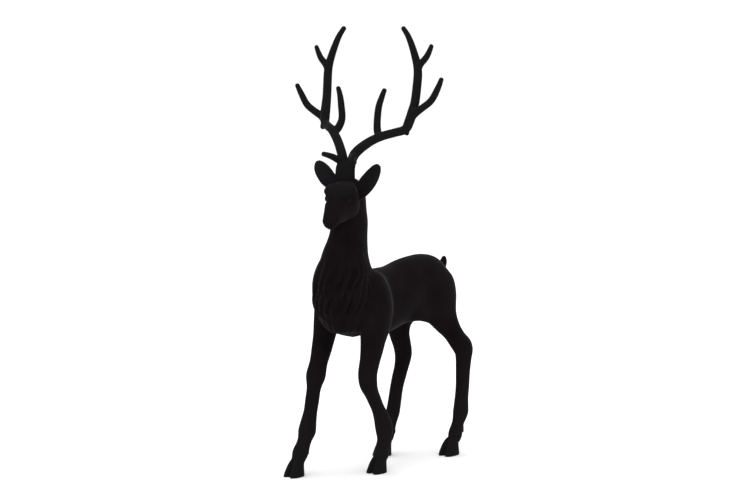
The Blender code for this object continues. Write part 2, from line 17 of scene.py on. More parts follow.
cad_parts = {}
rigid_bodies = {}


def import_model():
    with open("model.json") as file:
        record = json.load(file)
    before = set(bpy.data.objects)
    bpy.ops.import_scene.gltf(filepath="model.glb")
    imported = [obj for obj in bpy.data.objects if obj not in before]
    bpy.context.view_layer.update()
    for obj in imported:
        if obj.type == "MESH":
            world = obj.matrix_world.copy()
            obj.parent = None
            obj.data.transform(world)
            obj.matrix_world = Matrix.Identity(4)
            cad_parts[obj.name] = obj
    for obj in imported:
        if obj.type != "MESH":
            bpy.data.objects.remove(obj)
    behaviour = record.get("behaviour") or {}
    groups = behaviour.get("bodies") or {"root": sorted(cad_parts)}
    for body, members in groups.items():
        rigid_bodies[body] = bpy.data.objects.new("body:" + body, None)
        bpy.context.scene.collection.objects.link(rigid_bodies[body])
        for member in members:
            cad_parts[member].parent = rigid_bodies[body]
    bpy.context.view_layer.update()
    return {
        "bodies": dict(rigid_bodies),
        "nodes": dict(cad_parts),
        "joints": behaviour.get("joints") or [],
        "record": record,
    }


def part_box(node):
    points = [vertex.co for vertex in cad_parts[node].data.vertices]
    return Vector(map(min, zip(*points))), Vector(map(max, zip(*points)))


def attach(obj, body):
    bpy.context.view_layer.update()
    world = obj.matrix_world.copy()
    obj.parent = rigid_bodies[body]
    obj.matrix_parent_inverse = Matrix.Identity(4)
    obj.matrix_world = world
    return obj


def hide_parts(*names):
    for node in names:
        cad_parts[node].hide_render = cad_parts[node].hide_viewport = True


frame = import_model()

# The height, and the grids that the body and the whole figure are melted on, in metres
HEIGHT = 0.490
BODY_GRID = 0.002
FINE_GRID = 0.0008

# How many triangles the skin is thinned to, before its soles are cut
FINE_TRIANGLES = 190000

# The drawing of the figure below is in millimetres of a stag DRAWN_HEIGHT tall, so its pose,
# proportions and carving are shares of the height.
DRAWN_HEIGHT = 490.0
UNIT = HEIGHT / DRAWN_HEIGHT

# The flock: its near black, the patches brushed the other way, its single pale fibres, and the
# greyer, lighter tone that it reaches between two heights up the antlers and down the legs, which
# towards the ground is painted light: a painted reflection of the pale floor
FLOCK_DARK = (0.0037, 0.0025, 0.0030, 1.0)
FLOCK_LIGHT = (0.0069, 0.0051, 0.0058, 1.0)
FLOCK_SPECK = (0.022, 0.019, 0.020, 1.0)
FLOCK_GREY_AND_FLOOR_GLOW = (0.0078, 0.0072, 0.0080, 1.0)
THIN_ABOVE = (0.308, 0.330)
FLOOR_GLOW_AND_GREY_BELOW = (0.13, 0.0)
FLOCK_ROUGHNESS = 0.85
FLOCK_SPECULAR = 0.017
SHEEN_WEIGHT = 0.058
SHEEN_ROUGHNESS = 0.3
SHEEN_TINT = (1.0, 0.95, 0.96, 1.0)

# Noises in the flock: the brushed patches and the values between which they go from dark to
# light, the fibres and the values between which they turn into specks, and the soft lumps
PATCH_SCALE = 38.0
PATCH_DETAIL = 5.0
PATCH_ROUGHNESS = 0.6
PATCH_SPAN = (0.3, 0.72)
FIBRE_SCALE = 2600.0
FIBRE_DETAIL = 2.0
SPECK_SPAN = (0.5, 0.8)
SPECK_SHARE = 0.35
LUMP_SCALE = 420.0
LUMP_DETAIL = 6.0
LUMP_ROUGHNESS = 0.65

# The nap's relief: how much the fibres add to the lumps, how strong it is and its depth in metres
FIBRE_RELIEF = 0.5
NAP_STRENGTH = 0.5
NAP_DEPTH = 0.0004

# The photograph's view, in degrees, metres and, for the lens and sensor, millimetres. It looks
# at a point of the drawing below.
CAMERA_AZIMUTH = 40.0
CAMERA_ELEVATION = 8.5
CAMERA_DISTANCE = 2.6
CAMERA_LENS = 111.43
SENSOR_WIDTH = 36.0
CAMERA_AIM = (6.2, 63.3, 240.0)

# Studio: the pale floor, the white room, and soft boxes by place from the aim, size and power
FLOOR_REACH = 60.0
FLOOR_COLOUR = (0.94, 0.94, 0.94, 1.0)
FLOOR_ROUGHNESS = 0.9
FLOOR_SPECULAR = 0.1
WORLD_COLOUR = (1.0, 1.0, 1.0, 1.0)
WORLD_STRENGTH = 1.1
LIGHTS = (
    ("top_box", (-0.3, 0.4, 2.2), 1.8, 24.0),
    ("front_box", (0.6, -1.8, 1.6), 1.6, 7.0),
)

# Finer carving than the solid's, in the drawing's units. The grooves around an antler, and their
# depth as a share of its half width
GROOVES = 6
ANTLER_GROOVE = 0.045
# The strands of a lock: degrees aside, share of its length, start down from its root and share
# of its sway
STRANDS = (
    (-3.9, 0.92, 1.5, 0.85),
    (3.8, 1.0, 0.0, 1.1),
)
STRAND_HALF_WIDTH = 3.5
STRAND_THICKNESS = 4.3
STRAND_STEPS = 4
STRAND_SIDES = 12
# The eyelids: the rise and half thickness of each, half their length, how far the corners slant,
# how far the lids lie from the eye's centre, how little of that is left at the corners, and how
# much thinner they are there
LIDS = ((2.7, 1.15), (-2.0, 0.9))
LID_LENGTH = 5.4
LID_SLANT = 0.8
LID_RADIUS = 4.7
LID_TUCK = 1.2
LID_TAPER = 0.5
LID_POINTS = 9
LID_STEPS = 4
LID_SIDES = 10
# Which way the left eye looks out of the head, and which way is ahead along its lids
EYE_OUTWARD = (0.93, -0.28, 0.22)
EYE_AHEAD = (0, -1, -0.25)

# The poll, which the ears and antlers are drawn from, the middle of the skull, which the head is
# drawn from, and how far the head looks to the stag's left and down, in degrees
POLL = (0.0, 17.0, 326.0)
SKULL = (2.6, 10.9, 312.6)
HEAD_YAW = 14.0
HEAD_PITCH = 38.0

# The stations of a ball, as shares of its radius, and how finely it is drawn
BALL_SHARES = (-0.9, -0.6, 0.0, 0.6, 0.9)
BALL_STEPS = 2
BALL_SIDES = 16

# A station of a loft is x, y, z, half width, half depth. The sides are those of its sections.
TORSO_SIDES = 32
TORSO_EGG = 0.06
TORSO = (
    (0, -13, 197, 8, 14),
    (0, -7, 196, 18, 27),
    (0, 4, 195, 28, 35.2),
    (0, 20, 191.4, 33, 35.8),
    (0, 45, 185.4, 34, 36.9),
    (0, 70, 183.4, 33, 37.6),
    (0, 95, 186.8, 31, 35),
    (0, 120, 193.6, 28.5, 33.4),
    (0, 148, 195.6, 28, 32.6),
    (0, 166, 193, 25, 28.6),
    (0, 177, 191, 18, 22),
    (0, 183, 189, 9, 12),
)
NECK_SIDES = 28
NECK = (
    (0, 24, 168, 12, 16),
    (0, 17.8, 177, 20, 28),
    (0, 13.6, 190, 27.6, 35.5),
    (0, 14.2, 205, 29.2, 35.5),
    (0, 13.8, 222, 27.2, 35.2),
    (0, 15.2, 239, 22.8, 31.4),
    (0, 18.0, 251, 19.6, 28.0),
    (0, 20.6, 264, 17.2, 25.6),
    (0, 22.4, 280, 15.2, 26.0),
    (0, 23.4, 291, 12.8, 23.8),
    (0.4, 23.6, 301, 12.2, 22.2),
    (0.8, 21.5, 312, 12.5, 19),
    (0.6, 17, 321, 9, 12),
)
TAIL = (
    (0, 173, 199, 8, 6),
    (0, 183, 207, 5.8, 4.8),
    (0, 188, 214, 4.6, 4.0),
    (0, 189.5, 219.8, 2.4, 2.2),
)

# The fold of skin from the belly to the stifle, given for the left side
FLANK = (
    (14, 86, 172, 9, 14),
    (19, 104, 168.8, 8, 13),
    (22, 119, 167, 8, 12),
    (23, 135, 162, 8, 11),
)

# The head is drawn in its own frame: x to its left, y to its back, z out of its forehead. Its
# sections are boxier than ellipses and wider below than above.
HEAD_SIDES = 40
HEAD_SQUARE = 0.7
HEAD_EGG = 0.2
HEAD = (
    (0, 14, -10.5, 4.0, 5.5),
    (0, 8, -8.1, 8.8, 12.3),
    (0, 2, -6.8, 13.4, 17.0),
    (0, -4, -6.7, 17.3, 20.9),
    (0, -10, -5.9, 17.8, 22.1),
    (0, -18, -5.0, 15.6, 20.0),
    (0, -26, -4.5, 12.4, 15.0),
    (0, -34, -3.8, 10.6, 10.8),
    (0, -41, -3.4, 9.2, 8),
    (0, -46, -3.8, 8.3, 6.3),
    (0, -50, -4.8, 6.4, 5),
    (0, -52, -5.4, 3.4, 3.2),
)
# The left eye, and the ring-shaped hollow pressed in around it
EYE = (11.8, -17.5, 5.0)
EYE_RADIUS = 4.2
SOCKET_RADIUS = 6.2
SOCKET_REACH = 1.9
SOCKET_DEPTH = 2.3
BROW = (
    (11.4, -3, 9.4, 4, 3.4),
    (12.2, -9, 11.2, 4.6, 3.4),
    (11.8, -15, 11.2, 4.2, 3.2),
    (10.2, -21, 8.8, 3.2, 2.8),
)
# The left nostril's hollow, and the groove of the mouth from the muzzle to its corners
NOSTRIL = (5.0, -50.0, -1.4)
NOSTRIL_REACH = 2.2
NOSTRIL_DEPTH = 2.2
MOUTH_Z = -6.4
MOUTH_CORNER_Y = -35.0
MOUTH_CORNER_EASE = 6.0
MOUTH_REACH = 1.3
MOUTH_DEPTH = 1.0

# The ears and antlers are drawn from the poll, upright and turned with the head: the left ones
# are given.
EAR_CUP = 0.5
EAR_SIDE = (0.75, -0.45, -0.5)
EAR_STEPS = 6
EAR_SIDES = 28
EAR = (
    (10.5, -2, -15.4, 7.4, 5.2),
    (16.8, -2.4, -10.6, 10.2, 4.0),
    (22.6, -1, -4.0, 12.2, 3.2),
    (28.6, 1, 3.6, 11.2, 3.2),
    (34.0, 2, 11.4, 8.0, 2.9),
    (37.0, 2.5, 15.8, 3.8, 2.4),
)
# How far both ears sit towards the stag's left, and how much the left one's root and tip hang
# below the drawing and the right one's stand above it
EAR_ASIDE = 0.3
EAR_ROOT_UNEVEN = 3.0
EAR_UNEVEN = 0.8

# The direction of an antler's half width, and the sides of its sections
ANTLER_SIDE = (0.3, 1, 0.2)
ANTLER_SIDES = 42
BEAM = (
    (3.2, 3, -14, 5.2, 6.0),
    (3.2, 2, 4, 4.9, 5.4),
    (4.4, 2.6, 16, 4.9, 5.2),
    (8.5, 5.4, 27.4, 5.4, 5.4),
    (19.0, 16.9, 39.0, 5.2, 5.2),
    (30.4, 27, 47.0, 5.0, 5.0),
    (40.8, 38, 50.2, 4.8, 4.8),
    (49.4, 47, 53.3, 5.1, 5.1),
    (52.0, 52.5, 62, 5.5, 5.5),
    (53.4, 57.7, 72, 5.4, 5.4),
    (54.5, 62.6, 82.5, 5.0, 5.0),
    (55.4, 66.4, 98, 4.9, 4.9),
    (55.7, 68.7, 110.4, 4.8, 4.8),
    (54.2, 69.8, 121, 4.5, 4.5),
    (49.0, 71.5, 137, 3.9, 3.9),
    (42.9, 72.8, 151, 3.3, 3.3),
    (36.0, 73.5, 161, 2.7, 2.7),
)
TRAY_TINE = (
    (27.6, 26, 44, 3.8, 3.8),
    (23.8, 30, 51, 4.3, 4.3),
    (21.6, 34, 61, 4.0, 4.0),
    (23.0, 35.4, 76.4, 3.8, 3.8),
    (25.6, 38.1, 87.1, 3.3, 3.3),
    (28.8, 40, 95.8, 2.6, 2.6),
)
OUTER_TINE = (
    (52, 52, 59, 4.4, 4.4),
    (58.2, 54.5, 65.4, 4.3, 4.3),
    (66.4, 54.8, 70.8, 4.0, 4.0),
    (76.8, 56.5, 78.6, 3.9, 3.9),
    (84.0, 57.6, 90.4, 3.5, 3.5),
    (89.6, 57.3, 102, 2.6, 2.6),
)
CROWN_TINE = (
    (55, 68.5, 112, 4.0, 4.0),
    (58.2, 69.4, 119.4, 3.8, 3.8),
    (65.4, 70.6, 127.8, 3.5, 3.5),
    (69.6, 71.6, 136, 2.9, 2.9),
    (71.5, 71.9, 141, 2.4, 2.4),
)
BROW_TINE = (
    (7.4, 2, 17.4, 3.9, 3.9),
    (10.8, -6, 22.6, 3.9, 3.9),
    (14.6, -12, 25.8, 3.4, 3.4),
    (19.6, -18.5, 28.4, 2.7, 2.7),
)
# The bony column on the back of the skull that both antlers grow from
PEDICLE = (
    (-3.1, 3, -16, 11.4, 9),
    (-3.5, 2, -6, 10.6, 7.5),
    (-3.7, 1.5, 6, 10.2, 6),
    (-3.4, 1.5, 14, 8.8, 5.4),
    (-2.8, 2.2, 19, 5.0, 3.4),
)
# The knob under the beam's bend
ELBOW_KNOB = (
    (50, 46, 52, 4, 4),
    (52, 45.5, 49, 3.2, 3.2),
    (53, 45.5, 47.4, 2.0, 2.0),
)
# The two antlers aren't quite a pair: they start towards the stag's left and lean to its right,
# and each branch of the left one is higher than the right one's by twice the numbers given with
# it, for its root and its tip. The left beam sags by twice BEAM_SAG between two heights.
ANTLER_LEAN = 1.25
ANTLER_ASIDE = 0.5
BRANCHES = (
    (BEAM, 0.0, 0.0),
    (TRAY_TINE, -2.6, -0.8),
    (OUTER_TINE, 1.8, 4.2),
    (CROWN_TINE, 0.6, 0.8),
    (BROW_TINE, 0.0, 0.0),
    (ELBOW_KNOB, -2.0, -2.4),
)
BEAM_SAG = 2.6
BEAM_SAG_FROM = 34.0
BEAM_SAG_TO = 104.0
BEAM_SAG_EASE = 14.0

# Legs, from the top down. Half depth is fore and aft. Each ends in the pastern.
LEG_SIDES = 22
LEFT_FORE = (
    (13, 54, 213, 8, 11),
    (24, 43, 204, 11, 19),
    (30, 34, 186, 12.7, 23.4),
    (31, 29.6, 166, 12.2, 23),
    (30, 26.8, 150, 11.4, 18.8),
    (29, 25.5, 138, 10.6, 15.9),
    (29, 22.2, 126, 10, 13.4),
    (29, 18.4, 112, 10.2, 11.7),
    (29, 19.8, 100, 9.7, 10.8),
    (29, 24.8, 90, 7.8, 8.8),
    (29, 30, 81, 7.1, 8.5),
    (29, 35.6, 71, 6.8, 8.2),
    (29, 41, 61, 8.0, 9.3),
    (28.5, 45.8, 51, 9.4, 10.6),
    (28.5, 48, 41, 9.2, 10.3),
    (28, 48, 31.5, 7.6, 8.7),
    (28, 45.5, 24, 7.9, 9.2),
    (28, 43.5, 17, 8.0, 9.4),
    (28, 41, 11, 6.5, 8.0),
)
RIGHT_FORE = (
    (-13, 46, 213, 8, 11),
    (-25, 30, 203, 12, 20),
    (-30, 24, 184, 12.5, 22),
    (-30.5, 18.5, 164, 11.5, 19),
    (-30, 13.5, 148, 10.4, 15.8),
    (-30, 8.8, 133, 9.6, 13.8),
    (-30, 3.8, 119, 9.0, 11.8),
    (-30, -0.9, 105, 10.5, 12.2),
    (-30, -4.2, 92, 7.6, 9.2),
    (-30, -7.0, 79, 7.3, 9.1),
    (-30, -10, 66, 7.1, 8.9),
    (-30, -13, 56, 8.3, 9.8),
    (-30, -15.9, 45, 9.4, 11),
    (-30.5, -19.2, 36, 7.5, 8.8),
    (-30.5, -22, 30, 7.7, 8.9),
    (-31, -26, 22, 8.7, 9.9),
    (-31, -29, 16, 7.5, 8.7),
    (-31, -32, 11, 6.5, 7.8),
)
LEFT_HIND = (
    (13, 151, 209, 9, 20),
    (17.5, 152.6, 195, 13, 30.2),
    (20.5, 152.2, 180, 13.8, 30.8),
    (23.5, 153.5, 166, 12.8, 26.8),
    (26.2, 159.3, 152, 11.2, 18.4),
    (29.3, 167.6, 139, 9.8, 13),
    (31.5, 175, 128, 9.3, 12.4),
    (33.7, 183.3, 117, 9.3, 13.6),
    (34.7, 182.5, 106, 8.6, 10.8),
    (35.5, 180.3, 90, 7.7, 9.6),
    (36, 179, 74, 7.4, 9.1),
    (36, 177.4, 61, 7.4, 9.1),
    (36, 176.4, 49, 8.2, 9.9),
    (36, 175.5, 43, 8.5, 10),
    (36, 171, 32, 6.6, 7.9),
    (36, 168, 25, 7.4, 8.6),
    (36.5, 165, 19, 7.8, 9.2),
    (37, 161.5, 12, 6.3, 7.8),
)
RIGHT_HIND = (
    (-13, 151, 209, 9, 20),
    (-17.5, 154, 195, 13, 30.4),
    (-20.5, 150, 180, 14, 31),
    (-22.5, 142.6, 164, 12.5, 26.6),
    (-22.5, 135.4, 149, 11, 21),
    (-22, 135.6, 134, 10, 14),
    (-22, 140, 121, 9.3, 12),
    (-22, 142.4, 109, 8.7, 12),
    (-22, 139.2, 96, 7.6, 10),
    (-22, 134.4, 84, 7.3, 9.5),
    (-22, 130.4, 73, 7.0, 9.0),
    (-21.5, 127, 61, 7.1, 9.0),
    (-21, 124, 51, 7.3, 9.2),
    (-21, 122, 44, 7.5, 9.2),
    (-20.5, 118, 33, 6.3, 7.6),
    (-20.5, 115, 26, 7.0, 8.0),
    (-20, 111.5, 19, 7.4, 8.4),
    (-20, 108, 12, 6.0, 7.0),
)
# The drawing's ground, under the soles
GROUND = -2.2
# Each hoof: x and y of its middle on the ground, and the half length of its sole
HOOVES = (
    (28.2, 35.2, 10.6),
    (-30.6, -36.6, 10.7),
    (37.0, 153.6, 11.6),
    (-20.0, 102.0, 9.6),
)
HOOF_RISE = 14.0
HOOF_RAKE = 5.0
# A toe from its top, which stands further back than the hoof's rake, through its middle, given
# as shares of the sole's width and length, to its sole and a little under the ground
TOE_TOP_APART = 3.2
TOE_TOP_BACK = 1.0
TOE_TOP_HALF_WIDTH = 3.6
TOE_TOP_HALF_LENGTH = 6.5
TOE_MIDDLE_APART = 4.0
TOE_MIDDLE_WIDTH = 0.9
TOE_MIDDLE_LENGTH = 0.82
TOE_APART = 4.7
TOE_HALF_WIDTH = 5.0
SOLE_RISE = 1.0
SOLE_SINK = 3.0
SOLE_AHEAD = 1.0
# A pair of small claws behind each pastern: x, y, z of the middle of the pair
DEWCLAWS = (
    (28.0, 53.0, 26.0),
    (-31.0, -18.5, 25.0),
    (36.2, 173.8, 26.0),
    (-20.4, 119.0, 26.0),
)
DEWCLAW_APART = 4.0
DEWCLAW_HALF = 2.3
DEWCLAW_DROP = 5.0
DEWCLAW_ROOT_AHEAD = 1.0
DEWCLAW_TIP_BACK = 1.5

# The mane: rows of tapering locks from the throat down the chest and under the brisket. Above
# the heart of the chest they turn around the neck's upright axis, and below it around a point,
# by a radian in MANE_TURN.
HEART = (0.0, 27.0, 197.0)
MANE_TOP = 254.0
MANE_TURN = 42.0
MANE_ROWS = 4
MANE_ROW_STEP = 25.0
MANE_SWEEP_TOP = 66.0
MANE_SWEEP_BOTTOM = 46.0
LOCKS_PER_ROW = 8
LOCK_LENGTH = 58.0
LOCK_SWAY = 13.0
LOCK_CURL = 6.0
LOCK_TIP = 0.4
LOCK_SINK = 3.4
LOCK_LIFT = 0.4
LOCK_POINTS = 11
MANE_SEED = 5
# How unevenly the locks lie: along a row and between the rows, in shares of a lock's place and a
# row's step, and in length and sway, as shares of the plain one
LOCK_SHIFT = 0.12
ROW_SHIFT = 0.15
LENGTH_SPREAD = (0.85, 1.15)
SWAY_SPREAD = (0.5, 1.1)
# How a strand swells and tapers in width and in thickness: how far into the swell it starts, how
# late it is fullest and how slender its ends are
WIDTH_SWELL = (0.1, 0.8, 0.8)
THICKNESS_SWELL = (0.05, 1.5, 0.6)
# How far outside the trunk's middle the rays that find its skin start
RAY_START = 100.0

# Where the forms of the body run into each other: x, y, z and reach of each place
HOLLOWS = (
    (0, 50, 228, 34),
    (26, 62, 210, 22),
    (-26, 56, 210, 22),
    (22, 110, 168, 34),
    (-22, 108, 168, 34),
    (20, 140, 205, 46),
    (-20, 140, 205, 46),
    (0, 180, 178, 40),
    (0, 150, 165, 30),
    (0, 40, 156, 30),
    (14, 10, 150, 16),
    (-14, 2, 152, 16),
)
# Rounds of smoothing, how much of it the trunk, the limbs and the hollows take, the height at
# which the limbs leave the trunk, and over how much height the one turns into the other
BODY_ROUNDS = 80
TRUNK_SOFTNESS = 0.25
LIMB_SOFTNESS = 0.05
HOLLOW_SOFTNESS = 1.4
LIMB_TOP = 150.0
LIMB_BLEND = 20.0
# Rounds for the whole figure, how far a round moves a point, and the levels of softness
SKIN_ROUNDS = 6
SMOOTH_FACTOR = 0.5
SOFT_LEVELS = 20

STAG = "stag"


def unit(vectors):
    """Vectors scaled to length one."""
    return vectors / np.linalg.norm(vectors, axis=-1, keepdims=True)


def spline(rows, steps):
    """A Catmull-Rom curve through rows of numbers, with steps points to each span."""
    rows = np.asarray(rows, float)
    ends = np.vstack([2 * rows[0] - rows[1], rows, 2 * rows[-1] - rows[-2]])
    t = np.linspace(0, 1, steps, endpoint=False)[:, None]
    spans = []
    for before, start, stop, after in zip(ends, ends[1:], ends[2:], ends[3:]):
        linear = stop - before
        square = 2 * before - 5 * start + 4 * stop - after
        cube = 3 * start - before - 3 * stop + after
        spans.append(0.5 * (2 * start + linear * t + square * t**2 + cube * t**3))
    spans.append(rows[-1:])
    return np.vstack(spans)


class Clay:
    """Closed lofts that overlap, kept as one list of points and faces in the drawing's units."""

    DOME = 0.3

    def __init__(self):
        self.points = []
        self.faces = []

    def loft(
        self,
        stations,
        side=(1, 0, 0),
        frame=None,
        cup=0.0,
        egg=0.0,
        square=1.0,
        groove=0.0,
        steps=5,
        sides=20,
    ):
        """A skin through elliptical sections, domed at both ends.

        side is the direction of the half width, one for all or one for each station. cup
        bends a section into a bowl, egg makes it wider below than above, and square is below
        one for a boxier section. groove is the depth of furrows along it, as a share of its width.
        """
        rows = np.asarray(stations, float)
        sideways = np.broadcast_to(np.asarray(side, float), (len(rows), 3))
        rows = spline(np.hstack([rows, sideways]), steps)
        centres, width, depth, sideways = rows[:, :3], rows[:, 3], rows[:, 4], rows[:, 5:]
        heading = unit(np.gradient(centres, axis=0))
        along = np.sum(heading * sideways, axis=1, keepdims=True)
        across = unit(sideways - heading * along)
        over = np.cross(across, heading)
        angle = np.linspace(0, 2 * math.pi, sides, endpoint=False)
        cosine = np.sign(np.cos(angle)) * np.abs(np.cos(angle)) ** square
        sine = np.sign(np.sin(angle)) * np.abs(np.sin(angle)) ** square
        furrow = 1 + groove * np.cos(GROOVES * angle)
        wide = width[:, None] * cosine * (1 - egg * sine) * furrow
        high = depth[:, None] * sine * furrow - cup * width[:, None] * sine**2
        rings = centres[:, None] + wide[..., None] * across[:, None] + high[..., None] * over[:, None]
        first = centres[0] - heading[0] * (width[0] + depth[0]) * self.DOME
        last = centres[-1] + heading[-1] * (width[-1] + depth[-1]) * self.DOME
        points = np.vstack([rings.reshape(-1, 3), first, last])
        if frame is not None:
            matrix = np.array(frame)
            points = points @ matrix[:3, :3].T + matrix[:3, 3]
        self.add(points, self.tube_faces(len(rings), sides))

    @staticmethod
    def tube_faces(rings, sides):
        """Quads between the rings, and a fan of triangles at each end."""
        faces = []
        for row in range(rings - 1):
            for column in range(sides):
                a = row * sides + column
                b = row * sides + (column + 1) % sides
                faces.append((a, a + sides, b + sides, b))
        first = rings * sides
        last_row = (rings - 1) * sides
        for column in range(sides):
            after = (column + 1) % sides
            faces.append((first, column, after))
            faces.append((first + 1, last_row + after, last_row + column))
        return faces

    def ball(self, centre, radius, frame=None):
        """A sphere, as a loft of stations that follow its round."""
        x, y, z = centre
        rows = []
        for share in BALL_SHARES:
            ring = radius * math.sqrt(1 - share**2)
            rows.append((x, y, z + share * radius, ring, ring))
        self.loft(rows, frame=frame, steps=BALL_STEPS, sides=BALL_SIDES)

    def add(self, points, faces):
        """Takes in points and the faces between them, which count from the first of them."""
        start = sum(len(block) for block in self.points)
        self.points.append(points)
        for face in faces:
            self.faces.append(tuple(start + corner for corner in face))

    def add_mesh(self, mesh):
        """Takes in a mesh that is already made, such as the melted body."""
        faces = [tuple(face.vertices) for face in mesh.polygons]
        self.add(points_of(mesh), faces)

    def tree(self):
        return BVHTree.FromPolygons(np.vstack(self.points).tolist(), self.faces)

    def mesh(self, name):
        mesh = bpy.data.meshes.new(name)
        mesh.from_pydata((np.vstack(self.points) * UNIT).tolist(), [], self.faces)
        mesh.validate()
        return mesh


def head_frame():
    """The head's own frame: turned to the stag's left and nodded down."""
    turn = Matrix.Rotation(math.radians(HEAD_YAW), 4, "Z")
    nod = Matrix.Rotation(math.radians(HEAD_PITCH), 4, "X")
    return Matrix.Translation(SKULL) @ turn @ nod


def antler_frame():
    """The ears' and antlers' frame: upright on the poll, turned with the head."""
    turn = Matrix.Rotation(math.radians(HEAD_YAW), 4, "Z")
    lean = Matrix.Rotation(math.radians(-ANTLER_LEAN), 4, "Y")
    return Matrix.Translation(POLL) @ turn @ lean


def mirrored(stations, hand):
    """Stations of the left side, or of the right side where hand is -1."""
    rows = np.array(stations, float)
    rows[:, 0] *= hand
    return rows


def ease(value, start, stop):
    """A number that rises smoothly from 0 at start to 1 at stop."""
    share = np.clip((value - start) / (stop - start), 0, 1)
    return share * share * (3 - 2 * share)


def add_trunk(clay):
    clay.loft(TORSO, egg=TORSO_EGG, sides=TORSO_SIDES)
    clay.loft(NECK, sides=NECK_SIDES)


def add_legs(clay):
    for leg in (LEFT_FORE, RIGHT_FORE, LEFT_HIND, RIGHT_HIND):
        clay.loft(leg, sides=LEG_SIDES)
    for hand in (1, -1):
        clay.loft(mirrored(FLANK, hand))


def melted_body(with_legs):
    """The trunk and neck, with or without the legs, as one soft skin."""
    clay = Clay()
    add_trunk(clay)
    if with_legs:
        add_legs(clay)
    skin = melt(clay.mesh("body"), BODY_GRID)
    return soften(skin, BODY_ROUNDS, softness(points_of(skin)))


def add_mane(clay):
    """Locks that lie on the trunk, row over row, each of two strands with tips standing off."""
    trunk = Clay()
    trunk.add_mesh(melted_body(with_legs=False))
    tree = trunk.tree()
    rng = np.random.default_rng(MANE_SEED)
    for row in range(MANE_ROWS):
        share_down = row / (MANE_ROWS - 1)
        sweep = MANE_SWEEP_TOP + (MANE_SWEEP_BOTTOM - MANE_SWEEP_TOP) * share_down
        for place in range(LOCKS_PER_ROW):
            along = place + 0.5 * (row % 2) + rng.uniform(-LOCK_SHIFT, LOCK_SHIFT)
            bearing = sweep * (2 * (along / (LOCKS_PER_ROW - 0.5)) - 1)
            down = MANE_ROW_STEP * (row + rng.uniform(-ROW_SHIFT, ROW_SHIFT))
            length = LOCK_LENGTH * rng.uniform(*LENGTH_SPREAD)
            sway = LOCK_SWAY * rng.uniform(*SWAY_SPREAD) * math.sin(2 * math.radians(bearing))
            for aside, part, start, turn in STRANDS:
                add_strand(clay, tree, bearing + aside, down + start, length * part, sway * turn)


def swell(t, start, late, slender):
    """How full a strand is at t of its length, from 0 at its tip to 1."""
    return math.sin(math.pi * (start + (1 - start) * t) ** late) ** slender


def add_strand(clay, tree, bearing, down, length, sway):
    """One strand, from its root at a bearing (degrees left of ahead) and a way down.

    It swings outwards and comes back in, and its tip curls.
    """
    heart = Vector(HEART)
    to_heart = MANE_TOP - heart.z
    rows = []
    sides = []
    for t in np.linspace(0, 1, LOCK_POINTS):
        curl = LOCK_CURL * math.sin(2 * math.pi * t) * t
        angle = math.radians(bearing + sway * math.sin(math.pi * t) + curl)
        below = down + length * t - to_heart
        dip = max(below, 0) / MANE_TURN
        outward = Vector((math.sin(angle), -math.cos(angle), 0)) * math.cos(dip)
        outward.z = -math.sin(dip)
        axis = heart + Vector((0, 0, max(-below, 0)))
        spot, normal, _, _ = tree.ray_cast(axis + outward * RAY_START, -outward)
        if spot is None:
            break
        wide = STRAND_HALF_WIDTH * swell(t, *WIDTH_SWELL) + LOCK_TIP
        thick = STRAND_THICKNESS * swell(t, *THICKNESS_SWELL) + LOCK_TIP
        spot = spot + normal * (LOCK_LIFT * t - LOCK_SINK * (1 - t) ** 2)
        rows.append((*spot, wide, thick))
        sides.append(normal.cross(Vector((0, 0, 1)) * math.cos(dip) + outward * math.sin(dip)))
    clay.loft(rows, side=sides, steps=STRAND_STEPS, sides=STRAND_SIDES)


def add_head(clay):
    frame = head_frame()
    clay.loft(HEAD, frame=frame, square=HEAD_SQUARE, egg=HEAD_EGG, sides=HEAD_SIDES)
    for hand in (1, -1):
        clay.ball((hand * EYE[0], EYE[1], EYE[2]), EYE_RADIUS, frame)
        clay.loft(mirrored(BROW, hand), frame=frame)


def add_eyelids(clay):
    """A rim above and below each eye, which meet in a point at its front and back."""
    frame = head_frame()
    x, y, z = EYE_OUTWARD
    for hand in (1, -1):
        centre = np.array((hand * EYE[0], EYE[1], EYE[2]))
        outward = unit(np.array((hand * x, y, z)))
        ahead = unit(np.cross(np.cross(outward, EYE_AHEAD), outward))
        upward = np.cross(ahead, outward) * hand
        if upward[2] < 0:
            upward = -upward
        for rise, thick in LIDS:
            rows = []
            for share in np.linspace(-1, 1, LID_POINTS):
                along = LID_LENGTH * share
                up = rise * (1 - share**2) - LID_SLANT * share
                out = math.sqrt(max(LID_RADIUS**2 - along**2 - up**2, LID_TUCK**2))
                spot = centre + ahead * along + upward * up + outward * out
                wide = thick * (1 - LID_TAPER * share**2)
                rows.append((*spot, wide, wide))
            clay.loft(rows, side=tuple(outward), frame=frame, steps=LID_STEPS, sides=LID_SIDES)


def add_ears(clay):
    frame = antler_frame()
    x, y, z = EAR_SIDE
    for hand in (1, -1):
        rows = mirrored(EAR, hand)
        rows[:, 0] += EAR_ASIDE
        rows[:, 2] -= hand * np.linspace(EAR_ROOT_UNEVEN, EAR_UNEVEN, len(rows))
        side = (x, y * hand, z)
        cup = EAR_CUP * hand
        clay.loft(rows, side=side, frame=frame, cup=cup, steps=EAR_STEPS, sides=EAR_SIDES)


def add_antlers(clay):
    frame = antler_frame()
    clay.loft(PEDICLE, frame=frame)
    for hand in (1, -1):
        for branch, root, tip in BRANCHES:
            rows = mirrored(branch, hand)
            rows[:, 0] += ANTLER_ASIDE
            rows[:, 2] += hand * np.linspace(root, tip, len(rows))
            if branch is BEAM:
                up = ease(rows[:, 2], BEAM_SAG_FROM, BEAM_SAG_FROM + BEAM_SAG_EASE)
                back = ease(rows[:, 2], BEAM_SAG_TO, BEAM_SAG_TO - BEAM_SAG_EASE)
                rows[:, 2] -= hand * BEAM_SAG * up * back
            clay.loft(rows, side=ANTLER_SIDE, frame=frame, sides=ANTLER_SIDES, groove=ANTLER_GROOVE)


